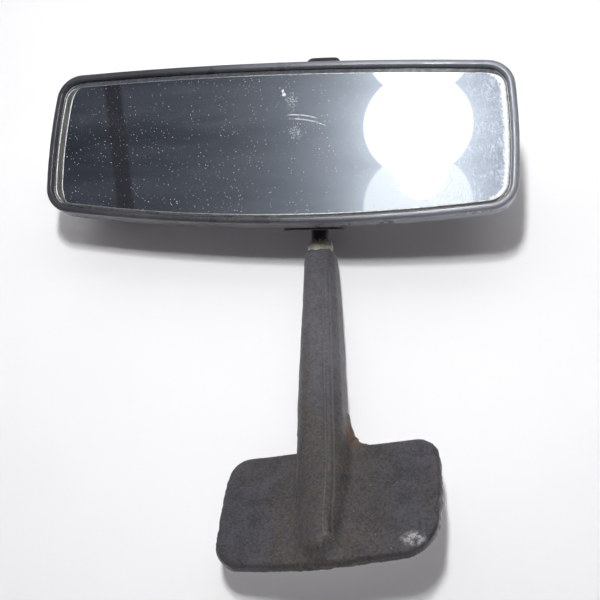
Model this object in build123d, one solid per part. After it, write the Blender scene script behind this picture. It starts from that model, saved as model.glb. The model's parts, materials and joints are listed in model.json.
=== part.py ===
"""Interior rearview mirror for an older car: header-mounted, hand-operated day/night prism glass.

Frame: millimetres, +Z up, +Y forward to the windscreen, +X to the right as the occupants see it.
The glass faces -Y. The origin is the centre of the foot's mounting face on the header.
"""
import math
import os

from build123d import *

os.makedirs("parts", exist_ok=True)

# ---- Driving dimensions -------------------------------------------------------------------------
HEADER_SLOPE = 41.5  # foot face, degrees from vertical
ARM_LEAN = 22.5  # arm, degrees from vertical, lower end forward
FOOT_WIDTH = 88.0
FOOT_HEIGHT = 55.0
FOOT_THICKNESS = 5.5
FOOT_CORNER = 8.0
SCREW_SPACING = 56.0
SCREW_HOLE = 5.4
PLATE_THICKNESS = 2.0
ROD_RADIUS = 4.0
ROD_HEIGHT = PLATE_THICKNESS + ROD_RADIUS  # rod centre line above the mounting face
ROD_TOP = 20.0  # end of the rod up the plate
ROD_BEND = -14.0  # where the rod leaves the plate
ARM_LENGTH = 155.0  # from that bend to the level of the ball
COVER_END = 104.5  # cover's open end, along the arm from the bend
SLEEVE_END = 109.5
BALL_BEHIND = 20.5  # the ball stands this far back from the arm's line
NECK_ANGLE = 40.0  # neck, degrees from vertical
NECK_RADIUS = 3.0
BALL_RADIUS = 6.5

HEAD_WIDTH = 215.0
HEAD_CENTRE_X = 12.2  # the ball sits off the middle of the head
HEAD_TOP = 37.2
HEAD_BOTTOM = 37.6
TOP_BOW = 7.0
BOTTOM_BOW = 3.1
SIDE_BOW = 2.0
SIDE_TAPER = 1.2  # half-width gained at the top and lost at the bottom
HEAD_CORNER = 12.5
RIM_FRONT = -22.0
GLASS_FRONT = -20.2
BEZEL_BACK = -12.5
HOUSING_BACK = 16.0
WALL = 2.0
RIM_WIDTH = 3.4
GLASS_THICK_TOP = 5.8
GLASS_THICK_BOTTOM = 3.2

REST_SWIVEL = -5.8  # the head as the last driver left it
REST_ROLL = 7.3

HINGE_Y = -8.0
HINGE_Z = 20.0
HINGE_PIN_RADIUS = 1.5
LEVER_X = -5.0
LEVER_Y = -2.0
LEVER_Z = -26.0
LEVER_THROW = 44.0
CRANK_RADIUS = 5.0
CRANK_PIN_RADIUS = 1.3
RUNNING_FIT = 0.05

# ---- Frames -------------------------------------------------------------------------------------
slope = math.radians(HEADER_SLOPE)
lean = math.radians(ARM_LEAN)
foot_out = Vector(0, -math.cos(slope), -math.sin(slope))
foot_up = Vector(0, -math.sin(slope), math.cos(slope))
arm_down = Vector(0, math.sin(lean), -math.cos(lean))
foot_plane = Plane(origin=(0, 0, 0), x_dir=(1, 0, 0), z_dir=foot_out)
arm_start = foot_up * ROD_BEND + foot_out * ROD_HEIGHT
arm_plane = Plane(origin=arm_start, x_dir=(1, 0, 0), z_dir=arm_down)
arm_end = arm_start + arm_down * ARM_LENGTH
ball_centre = arm_end - Vector(0, BALL_BEHIND, 0)
neck_rad = math.radians(NECK_ANGLE)
neck_dir = Vector(0, math.sin(neck_rad), math.cos(neck_rad))

swivelled = Pos(ball_centre) * Location((0, 0, 0), (arm_down.X, arm_down.Y, arm_down.Z), -REST_SWIVEL)
head_at = swivelled * Rot(0, REST_ROLL, 0)


def save(name, shape):
    """Write one node."""
    shape.label = name
    export_step(shape, f"parts/{name}.step")


def block(x0, x1, y0, y1, z0, z1):
    """An axis-aligned block between two corners."""
    return Pos((x0 + x1) / 2, (y0 + y1) / 2, (z0 + z1) / 2) * Box(x1 - x0, y1 - y0, z1 - z0)


def rod_x(x0, x1, y, z, radius):
    """A round bar along X."""
    return Pos((x0 + x1) / 2, y, z) * Rot(0, 90, 0) * Cylinder(radius, x1 - x0)


def rod_y(y0, y1, x, z, radius):
    """A round bar along Y."""
    return Pos(x, (y0 + y1) / 2, z) * Rot(90, 0, 0) * Cylinder(radius, y1 - y0)


def rod_between(a, b, radius):
    """A round bar from a to b."""
    axis = b - a
    plane = Plane(origin=a, x_dir=(1, 0, 0), z_dir=axis)
    return plane * Cylinder(radius, axis.length, align=(Align.CENTER, Align.CENTER, Align.MIN))


# ---- Foot and arm -------------------------------------------------------------------------------
RIVET_RADIUS = 1.5
RIVET_DOME = 2.8
RIVET_HEAD = 1.0
SADDLE_WALL = 1.4
SADDLE_BOTTOM = -7.0
SADDLE_TOP = 13.0


def make_base_plate():
    """Pressed steel plate with the two header screw holes and the rivet holes."""
    outline = RectangleRounded(FOOT_WIDTH - 12, FOOT_HEIGHT - 11, 5)
    for x in (-SCREW_SPACING / 2, SCREW_SPACING / 2):
        outline -= Pos(x, 0) * Circle(SCREW_HOLE / 2)
    for x, s in rivet_places():
        outline -= Pos(x, s) * Circle(RIVET_RADIUS)
    return foot_plane * extrude(outline, PLATE_THICKNESS)


def rivet_places():
    """Centres of the four saddle rivets on the plate."""
    return [(x, s) for x in (-8.6, 8.6) for s in (-3.0, 9.0)]


def make_saddle():
    """Pressed strap that clamps the rod to the plate."""
    outer = ROD_RADIUS + SADDLE_WALL
    profile = Pos(0, ROD_HEIGHT) * Circle(outer)
    profile += Pos(0, (PLATE_THICKNESS + ROD_HEIGHT) / 2) * Rectangle(2 * outer, ROD_HEIGHT - PLATE_THICKNESS)
    profile += Pos(0, PLATE_THICKNESS + SADDLE_WALL / 2) * Rectangle(23, SADDLE_WALL)
    profile -= Pos(0, ROD_HEIGHT) * Circle(ROD_RADIUS)
    profile -= Pos(0, ROD_HEIGHT / 2) * Rectangle(2 * ROD_RADIUS, ROD_HEIGHT)
    profile -= Pos(0, PLATE_THICKNESS - 5) * Rectangle(40, 10)
    end_face = Plane(origin=(0, SADDLE_TOP, 0), x_dir=(1, 0, 0), z_dir=(0, -1, 0))
    strap = end_face * extrude(profile, SADDLE_TOP - SADDLE_BOTTOM)
    for x, s in rivet_places():
        strap -= Pos(x, s, 3) * Cylinder(RIVET_RADIUS, 8)
    return foot_plane * strap


def make_rivets():
    """Four domed rivets through strap and plate."""
    group = []
    head_at_height = PLATE_THICKNESS + SADDLE_WALL
    for x, s in rivet_places():
        shank = Pos(x, s, 0) * Cylinder(RIVET_RADIUS, head_at_height, align=(Align.CENTER, Align.CENTER, Align.MIN))
        dome = Pos(x, s, head_at_height + RIVET_HEAD - RIVET_DOME) * Sphere(RIVET_DOME)
        dome &= Pos(x, s, head_at_height + 1.5) * Box(8, 8, 3)
        group.append(foot_plane * (shank + dome))
    return Compound(children=group)


def arm_path():
    """Centre line of the bent rod, from the top of the plate to the start of the neck."""
    top = foot_up * ROD_TOP + foot_out * ROD_HEIGHT
    reach = BALL_BEHIND / (math.tan(neck_rad) * math.cos(lean) + math.sin(lean))
    corner = arm_end - arm_down * reach
    neck_end = ball_centre + neck_dir * (BALL_RADIUS + 4.5)
    return FilletPolyline(top, arm_start, corner, neck_end, radius=(20.0, 13.0))


def make_stem():
    """Bent steel rod ending in the necked ball."""
    path = arm_path()
    start = Plane(origin=path @ 0, x_dir=(1, 0, 0), z_dir=path % 0)
    rod = sweep(start * Circle(ROD_RADIUS), path=path)
    neck = rod_between(ball_centre, path @ 1, NECK_RADIUS)
    return rod + neck + Pos(ball_centre) * Sphere(BALL_RADIUS)


def arm_bore(radius, begin, end):
    """Straight bore or bar on the arm's line."""
    return rod_between(arm_start + arm_down * begin, arm_start + arm_down * end, radius)


SLEEVE_RADIUS = 5.2


def make_sleeve():
    """Felt sleeve between the rod and the cover."""
    return arm_bore(SLEEVE_RADIUS, 22, SLEEVE_END) - arm_bore(ROD_RADIUS, 20, SLEEVE_END + 2)


ARM_SECTIONS = (
    # along the arm, width, depth
    (-20.0, 14.5, 14.5),
    (-4.0, 20.8, 16.4),
    (30.0, 19.6, 15.8),
    (65.0, 17.4, 14.8),
    (98.0, 14.6, 13.2),
    (COVER_END, 13.0, 12.2),
)
RIB_RADIUS = 8.0
RIB_CENTRE = 5.4
RIB_TOP = 20.0


def make_cover():
    """Moulded cover: broad foot, raised rib over the rod, and tapering arm."""
    pad = extrude(RectangleRounded(FOOT_WIDTH, FOOT_HEIGHT, FOOT_CORNER), FOOT_THICKNESS)
    pad = fillet(pad.faces().sort_by(Axis.Z)[-1].edges(), 2.0)
    rib = Pos(0, (RIB_TOP - 26) / 2, RIB_CENTRE) * Rot(90, 0, 0) * Cylinder(RIB_RADIUS, RIB_TOP + 26)
    rib += Pos(0, RIB_TOP, RIB_CENTRE) * Sphere(RIB_RADIUS)
    lower = -FOOT_HEIGHT / 2
    web = Pos(0, lower - 3.0, 3.6) * Box(32, 8, 6)
    for side in (-1, 1):
        web -= Pos(side * 16.6, lower - 6.1, 3.6) * Cylinder(6, 10)
    foot = pad + rib + web
    sections = []
    for along, width, depth in ARM_SECTIONS:
        corner = 0.42 * min(width, depth)
        sections.append(arm_plane.offset(along) * RectangleRounded(width, depth, corner))
    arm = loft(sections)
    cover = (foot_plane * foot) + arm
    cover -= foot_plane * (Pos(0, 0, -25) * Box(200, 200, 50))
    pocket = extrude(RectangleRounded(FOOT_WIDTH - 11.4, FOOT_HEIGHT - 10.4, 5), PLATE_THICKNESS + 0.3)
    rivet_top = PLATE_THICKNESS + SADDLE_WALL + RIVET_HEAD
    pocket += block(-12.2, 12.2, SADDLE_BOTTOM - 0.6, SADDLE_TOP + 0.6, 0, rivet_top + 0.2)
    pocket += block(-5.8, 5.8, ROD_BEND - 3, SADDLE_TOP + 1, 0, ROD_HEIGHT)
    channel = (ROD_BEND - 3 + RIB_TOP + 1) / 2
    pocket += Pos(0, channel, ROD_HEIGHT) * Rot(90, 0, 0) * Cylinder(5.8, RIB_TOP + 4 - ROD_BEND)
    cover -= foot_plane * pocket
    cover -= arm_bore(SLEEVE_RADIUS, -1, COVER_END + 5)
    return cover


# ---- Ball joint ---------------------------------------------------------------------------------
SEAT_INNER = BALL_RADIUS + RUNNING_FIT
SEAT_OUTER = 8.0
SPRING_INNER = SEAT_OUTER + RUNNING_FIT
SPRING_OUTER = 9.0
SOCKET_INNER = SPRING_OUTER + RUNNING_FIT
SOCKET_OUTER = 10.8


def neck_cone(half_angle, length=40.0):
    """Cone around the neck, apex at the ball centre, that leaves room for the neck's travel."""
    radius = length * math.tan(math.radians(half_angle))
    plane = Plane(origin=(0, 0, 0), x_dir=(1, 0, 0), z_dir=neck_dir)
    return plane * Cone(0.001, radius, length, align=(Align.CENTER, Align.CENTER, Align.MIN))


def ball_shell(inner, outer, half_angle):
    """Spherical shell open towards the neck."""
    return Sphere(outer) - Sphere(inner) - neck_cone(half_angle)


def make_spring_cup():
    """Sprung steel cup that presses the seat on the ball, slotted into fingers."""
    cup = ball_shell(SPRING_INNER, SPRING_OUTER, 50)
    for turn in (0, 60, 120):
        plane = Plane(origin=(0, 0, 0), x_dir=(1, 0, 0), z_dir=neck_dir)
        slot = plane * (Rot(0, 0, turn) * Pos(0, 0, 4) * Box(30, 1.2, 12))
        cup -= slot
    return cup


PLATE_FRONT = -12.6
PLATE_BACK = -10.9
FLANGE_X = 17.0
FLANGE_TOP = 9.0
FLANGE_BOTTOM = -11.0
CLAMP_X = 13.6
CLAMP_Z = -1.0
CLAMP_RADIUS = 1.25
TRAVEL_CONE = 55.0


def make_carrier():
    """Moulded carrier: front half of the socket, hinge ears and the fork for the crank."""
    body = block(-22, 22, PLATE_FRONT, PLATE_BACK, -18, 24)
    body += block(LEVER_X - 7, LEVER_X + 7, PLATE_FRONT, PLATE_BACK, -26, -18)
    body += block(-FLANGE_X, FLANGE_X, PLATE_BACK, -0.1, FLANGE_BOTTOM, FLANGE_TOP)
    for side in (-1, 1):
        body += block(*sorted((side * 20.5, side * 23.5)), PLATE_BACK, -4.5, 15.5, 24)
    body += block(LEVER_X - 1.5, LEVER_X + 1.5, PLATE_BACK, 0.0, -24, -16.5)
    body -= Sphere(SOCKET_INNER)
    body -= neck_cone(TRAVEL_CONE)
    body -= rod_x(-30, 30, HINGE_Y, HINGE_Z, HINGE_PIN_RADIUS)
    for side in (-1, 1):
        body -= rod_y(-9, 1, side * CLAMP_X, CLAMP_Z, CLAMP_RADIUS)
    crank_y, _ = crank_place()
    half = CRANK_PIN_RADIUS + 0.15
    body -= block(LEVER_X - 3, LEVER_X + 3, crank_y - half, crank_y + half, -23.35, -19.0)
    return body


def crank_place():
    """Crank pin centre in the YZ plane with the lever at day."""
    angle = math.radians(LEVER_THROW / 2)
    return LEVER_Y - CRANK_RADIUS * math.sin(angle), LEVER_Z + CRANK_RADIUS * math.cos(angle)


def make_socket_cap():
    """Back half of the socket, screwed to the carrier."""
    cap = block(-FLANGE_X, FLANGE_X, 0.1, 3.6, FLANGE_BOTTOM, FLANGE_TOP)
    cap += Sphere(SOCKET_OUTER) & block(-12, 12, 0.1, 12, -12, 12)
    cap -= Sphere(SOCKET_INNER)
    cap -= neck_cone(TRAVEL_CONE)
    for side in (-1, 1):
        cap -= rod_y(-1, 5, side * CLAMP_X, CLAMP_Z, CLAMP_RADIUS)
    return cap


def make_clamp_screws():
    """Two pan-head screws that close the socket."""
    group = []
    for side in (-1, 1):
        shank = rod_y(-8.5, 3.6, side * CLAMP_X, CLAMP_Z, CLAMP_RADIUS)
        head = rod_y(3.6, 5.4, side * CLAMP_X, CLAMP_Z, 2.4)
        head -= block(side * CLAMP_X - 0.35, side * CLAMP_X + 0.35, 4.6, 6, CLAMP_Z - 3, CLAMP_Z + 3)
        group.append(head_at * (shank + head))
    return Compound(children=group)


def make_hinge_pins():
    """Two pins on which the head tips between day and night."""
    group = []
    for side in (-1, 1):
        group.append(head_at * rod_x(*sorted((side * 20.5, side * 32.5)), HINGE_Y, HINGE_Z, HINGE_PIN_RADIUS))
    return Compound(children=group)


# ---- Head ---------------------------------------------------------------------------------------
def head_face(depth):
    """Plane of the head's outline at one depth, facing the driver."""
    return Plane(origin=(HEAD_CENTRE_X, depth, 0), x_dir=(1, 0, 0), z_dir=(0, -1, 0))


def head_outline(inset):
    """Bowed outline of the head, inset all round, as a sketch in the face plane."""
    half = HEAD_WIDTH / 2 - inset
    top = HEAD_TOP - inset
    bottom = -(HEAD_BOTTOM - inset)
    top_end = top - TOP_BOW
    bottom_end = bottom + BOTTOM_BOW
    left_top = (-half - SIDE_TAPER + SIDE_BOW, top_end)
    right_top = (half + SIDE_TAPER - SIDE_BOW, top_end)
    left_bottom = (-half + SIDE_TAPER + SIDE_BOW, bottom_end)
    right_bottom = (half - SIDE_TAPER - SIDE_BOW, bottom_end)
    edges = [
        ThreePointArc(left_top, (0, top), right_top),
        ThreePointArc(right_top, (half, 0), right_bottom),
        ThreePointArc(right_bottom, (0, bottom), left_bottom),
        ThreePointArc(left_bottom, (-half, 0), left_top),
    ]
    face = make_face(edges)
    return fillet(face.vertices(), max(HEAD_CORNER - 0.8 * inset, 4.0))


def head_slab(inset, y0, y1):
    """Slab of the head's outline between two depths."""
    return head_face(y1) * extrude(head_outline(inset), y1 - y0)


def make_bezel():
    """Moulded rim that holds the glass."""
    ring = head_slab(0, RIM_FRONT, BEZEL_BACK)
    front = ring.faces().sort_by(Axis.Y)[0]
    ring = fillet(front.edges(), 1.4)
    ring -= head_slab(RIM_WIDTH, RIM_FRONT - 1, GLASS_FRONT + 1)
    ring -= head_slab(2.0, GLASS_FRONT, BEZEL_BACK + 1)
    return ring


WALL_DRAFT = 4.5
BACK_DOME = 13.0
COATING = 0.3
RIB_SPACING = 75.0
RIB_FRONT = -11.5
LEVER_PIN_RADIUS = 1.3
SPRING_SHELF = -13.6
SPRING_X = LEVER_X + 7.3
SPRING_WIDTH = 4.2
SPRING_THICKNESS = 0.5
SPRING_FACE = 1.8
SPRING_SCREW_Y = 10.2
SLOT_MIDDLE = -4.9
SLOT_HALF = 11.8
SLOT_FRONT = -9.5
SLOT_FLOOR = 4.0
SLOT_ROUND = 6.5


def housing_form(inset, back):
    """Domed back form, lofted through outlines that draw in faster towards the back."""
    sections = []
    for part in (0.0, 0.3, 0.55, 0.75, 0.9, 1.0):
        depth = BEZEL_BACK + (back - BEZEL_BACK) * part
        draw_in = WALL_DRAFT * part + BACK_DOME * (1 - math.sqrt(1 - part**3))
        sections.append(head_face(depth) * head_outline(inset + draw_in))
    return loft(sections)


def stem_opening(margin):
    """Slot in the top and back, round at its front, through which the stem reaches the ball."""
    half = SLOT_HALF + margin
    slot = block(SLOT_MIDDLE - half, SLOT_MIDDLE + half, SLOT_FRONT - margin, 40, SLOT_FLOOR - margin, 60)
    slot = fillet(slot.edges().filter_by(Axis.Z).group_by(Axis.Y)[0], SLOT_ROUND + margin)
    return fillet(slot.edges().filter_by(Axis.Y).group_by(Axis.Z)[0], 6.0)


def make_housing():
    """Thin back shell with hinge posts, lever posts, glass ribs and the stem opening."""
    outer = housing_form(0.5, HOUSING_BACK)
    inner = housing_form(0.5 + WALL, HOUSING_BACK - WALL)
    raised = housing_form(-0.8, HOUSING_BACK + 1.3)
    fittings = block(SPRING_X - 2.6, SPRING_X + 2.6, 6.5, HOUSING_BACK, -24, SPRING_SHELF)
    for side in (-1, 1):
        rib_x = HEAD_CENTRE_X + side * RIB_SPACING
        fittings += block(rib_x - 1.5, rib_x + 1.5, RIB_FRONT, HOUSING_BACK, -22, 22)
        fittings += block(*sorted((side * 25.0, side * 32.5)), -11.2, HOUSING_BACK, 15.5, 24.5)
        post_x = LEVER_X + side * 12.2
        fittings += block(post_x - 1.9, post_x + 1.9, -7.5, HOUSING_BACK, -33, -22.3)
    shell = outer - inner
    shell += fittings & outer
    shell += (stem_opening(2.0) & raised) - inner
    shell -= stem_opening(0)
    shell -= rod_x(-33, 33, HINGE_Y, HINGE_Z, HINGE_PIN_RADIUS + RUNNING_FIT)
    shell -= rod_x(LEVER_X - 15, LEVER_X + 15, LEVER_Y, LEVER_Z, LEVER_PIN_RADIUS)
    shell -= block(LEVER_X - 9, LEVER_X + 9, -9.4, 5.4, -50, -28.5)
    shell -= Pos(SPRING_X, SPRING_SCREW_Y, SPRING_SHELF - 3.5) * Cylinder(1.0, 7)
    return shell


def behind_glass(gap):
    """Everything behind the sloping back face of the prism, less a gap."""
    span = HEAD_TOP + HEAD_BOTTOM - 4.0
    tilt = math.degrees(math.atan((GLASS_THICK_TOP - GLASS_THICK_BOTTOM) / span))
    middle = GLASS_FRONT + (GLASS_THICK_TOP + GLASS_THICK_BOTTOM) / 2 + gap
    return Pos(0, middle, 0) * Rot(-tilt, 0, 0) * block(-200, 200, 0, 60, -100, 100)


def make_glass():
    """Wedge of glass, thicker at the top, silvered on its back face."""
    return head_slab(2.2, GLASS_FRONT, -12) - behind_glass(0)


def make_glass_pads():
    """Two foam strips that hold the glass forward against the bezel's lip."""
    group = []
    for side in (-1, 1):
        pad_x = HEAD_CENTRE_X + side * RIB_SPACING
        pad = block(pad_x - 6, pad_x + 6, -19, RIB_FRONT, -18, 18)
        group.append(head_at * (pad & behind_glass(COATING)))
    return Compound(children=group)


# ---- Day and night lever ------------------------------------------------------------------------
HUB_RADIUS = 3.5
HUB_HALF = 9.6
CHEEK_INNER = 2.0
CHEEK_OUTER = 4.4
TAB_HALF = 8.0
TAB_LENGTH = 26.5
lever_at = head_at * Pos(LEVER_X, LEVER_Y, LEVER_Z) * Rot(LEVER_THROW / 2, 0, 0)


def make_lever():
    """Finger tab, hub and crank cheeks in one moulding."""
    hub = rod_x(-HUB_HALF, HUB_HALF, 0, 0, HUB_RADIUS)
    tab = block(-TAB_HALF, TAB_HALF, -1.5, 1.5, -TAB_LENGTH, -2.0)
    tab = fillet(tab.edges().filter_by(Axis.Y).group_by(Axis.Z)[0], 3.0)
    grip = block(-TAB_HALF + 1.5, TAB_HALF - 1.5, -2.3, 2.3, -TAB_LENGTH + 1.5, -TAB_LENGTH + 4.5)
    lever = hub + tab + fillet(grip.edges().filter_by(Axis.X), 1.0)
    for side in (-1, 1):
        lever += block(*sorted((side * CHEEK_INNER, side * CHEEK_OUTER)), -2.2, 2.2, 0, 7.2)
    lever -= block(-CHEEK_INNER, CHEEK_INNER, -4, 4, -3.4, 8)
    lever -= rod_x(-12, 12, 0, 0, LEVER_PIN_RADIUS + RUNNING_FIT)
    lever -= rod_x(-12, 12, 0, CRANK_RADIUS, CRANK_PIN_RADIUS)
    return lever_at * lever


def make_crank_pin():
    """Pin between the cheeks that works in the carrier's fork."""
    return lever_at * rod_x(-CHEEK_OUTER, CHEEK_OUTER, 0, CRANK_RADIUS, CRANK_PIN_RADIUS)


def make_detent_spring():
    """Leaf that bears on the lever's hub, with its foot on the housing's shelf."""
    x0 = SPRING_X - SPRING_WIDTH / 2
    x1 = SPRING_X + SPRING_WIDTH / 2
    top = SPRING_SHELF + SPRING_THICKNESS
    leaf = block(x0, x1, SPRING_FACE, SPRING_FACE + SPRING_THICKNESS, -29.4, top)
    leaf += block(x0, x1, SPRING_FACE, 12.6, SPRING_SHELF, top)
    leaf -= Pos(SPRING_X, SPRING_SCREW_Y, SPRING_SHELF) * Cylinder(1.0, 4)
    return head_at * leaf


def make_spring_screw():
    """Small screw that holds the leaf."""
    top = SPRING_SHELF + SPRING_THICKNESS
    shank = Pos(SPRING_X, SPRING_SCREW_Y, top - 3.25) * Cylinder(1.0, 6.5)
    head = Pos(SPRING_X, SPRING_SCREW_Y, top + 0.7) * Cylinder(1.9, 1.4)
    head -= Pos(SPRING_X, SPRING_SCREW_Y, top + 1.3) * Box(6, 0.5, 0.8)
    return head_at * (shank + head)


save("base_plate", make_base_plate())
save("stem_saddle", make_saddle())
save("saddle_rivets", make_rivets())
save("ball_stem", make_stem())
save("stem_sleeve", make_sleeve())
save("arm_cover", make_cover())
save("ball_seat", swivelled * ball_shell(SEAT_INNER, SEAT_OUTER, 47))
save("spring_cup", swivelled * make_spring_cup())
save("socket_carrier", head_at * make_carrier())
save("socket_cap", head_at * make_socket_cap())
save("clamp_screws", make_clamp_screws())
save("hinge_pins", make_hinge_pins())
save("housing", head_at * make_housing())
save("bezel", head_at * make_bezel())
save("prism_glass", head_at * make_glass())
save("glass_pads", make_glass_pads())
save("lever_pin", head_at * rod_x(LEVER_X - 14, LEVER_X + 14, LEVER_Y, LEVER_Z, LEVER_PIN_RADIUS))
save("dip_lever", make_lever())
save("crank_pin", make_crank_pin())
save("detent_spring", make_detent_spring())
save("spring_screw", make_spring_screw())
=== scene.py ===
"""Looks of the header-mounted interior rearview mirror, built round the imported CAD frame."""
import itertools
import json
import math

import bpy
import numpy as np
from mathutils import Matrix, Vector, noise


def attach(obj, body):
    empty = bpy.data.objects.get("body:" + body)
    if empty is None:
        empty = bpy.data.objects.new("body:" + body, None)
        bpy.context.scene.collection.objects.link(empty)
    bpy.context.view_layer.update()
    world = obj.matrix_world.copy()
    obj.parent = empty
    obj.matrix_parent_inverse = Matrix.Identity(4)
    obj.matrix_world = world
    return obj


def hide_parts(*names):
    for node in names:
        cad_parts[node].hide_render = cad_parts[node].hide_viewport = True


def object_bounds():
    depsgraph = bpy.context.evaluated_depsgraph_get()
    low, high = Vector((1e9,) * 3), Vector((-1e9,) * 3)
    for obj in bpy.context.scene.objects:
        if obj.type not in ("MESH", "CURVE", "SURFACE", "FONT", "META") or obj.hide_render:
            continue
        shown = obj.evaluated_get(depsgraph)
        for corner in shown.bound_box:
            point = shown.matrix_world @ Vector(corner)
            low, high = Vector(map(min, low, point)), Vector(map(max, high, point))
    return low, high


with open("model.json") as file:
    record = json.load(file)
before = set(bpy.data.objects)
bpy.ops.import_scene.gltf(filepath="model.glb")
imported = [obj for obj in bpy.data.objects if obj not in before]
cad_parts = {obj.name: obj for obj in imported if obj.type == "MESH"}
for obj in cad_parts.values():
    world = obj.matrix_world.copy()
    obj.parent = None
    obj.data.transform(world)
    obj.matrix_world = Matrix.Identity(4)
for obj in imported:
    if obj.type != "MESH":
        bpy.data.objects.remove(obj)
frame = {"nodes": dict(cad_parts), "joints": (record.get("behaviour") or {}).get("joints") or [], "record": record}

cad_box = [list(corner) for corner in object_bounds()]
MM = 0.001
nodes = frame["nodes"]
joints = {joint["name"]: joint for joint in frame["joints"]}
mounts = {mount["name"]: mount for mount in frame["record"]["mounts"]}
random = np.random.default_rng(7)

# ---- Frames, all read from the record ----
ball = Vector(joints["head_swivel"]["pos_m"])
arm_down = -Vector(joints["head_swivel"]["axis"])
head_x = -Vector(joints["night_tip"]["axis"])
head_y = Vector(joints["head_roll"]["axis"])
head_z = head_x.cross(head_y)
foot_out = -Vector(mounts["header_face"]["axis"])
foot_x = Vector((1, 0, 0))
foot_up = foot_out.cross(foot_x)


def frame_matrix(x, y, z, origin):
    """Matrix that takes points of the frame x, y, z at origin to the object's frame."""
    return Matrix.Translation(origin) @ Matrix((x, y, z)).transposed().to_4x4()


HEAD = frame_matrix(head_x, head_y, head_z, ball)
FOOT = frame_matrix(foot_x, foot_up, foot_out, Vector(mounts["header_face"]["pos_m"]))


def local_points(node, matrix):
    """A CAD node's vertices in a local frame, in millimetres."""
    points = np.array([vertex.co for vertex in nodes[node].data.vertices])
    inverse = np.array(matrix.inverted())
    return (points @ inverse[:3, :3].T + inverse[:3, 3]) / MM


def new_object(name, data):
    """An object of that data, in the scene."""
    made = bpy.data.objects.new(name, data)
    bpy.context.scene.collection.objects.link(made)
    return made


# ---- Camera ----
CAMERA_PLACE = Vector((-0.0875, -0.3289, -0.0271))
CAMERA_BACK = Vector((-0.2551, -0.9531, 0.1630))
CAMERA_UP = Vector((-0.1619, -0.1241, -0.9790))
CAMERA_ANGLE = 38.88


def make_camera():
    """The mirror is seen upside down, with its foot towards the bottom of the picture."""
    data = bpy.data.cameras.new("camera")
    data.angle = math.radians(CAMERA_ANGLE)
    data.clip_start = 0.01
    camera = new_object("camera", data)
    back = CAMERA_BACK.normalized()
    right = CAMERA_UP.cross(back).normalized()
    camera.matrix_world = frame_matrix(right, back.cross(right), back, CAMERA_PLACE)
    bpy.context.scene.camera = camera


make_camera()


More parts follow.
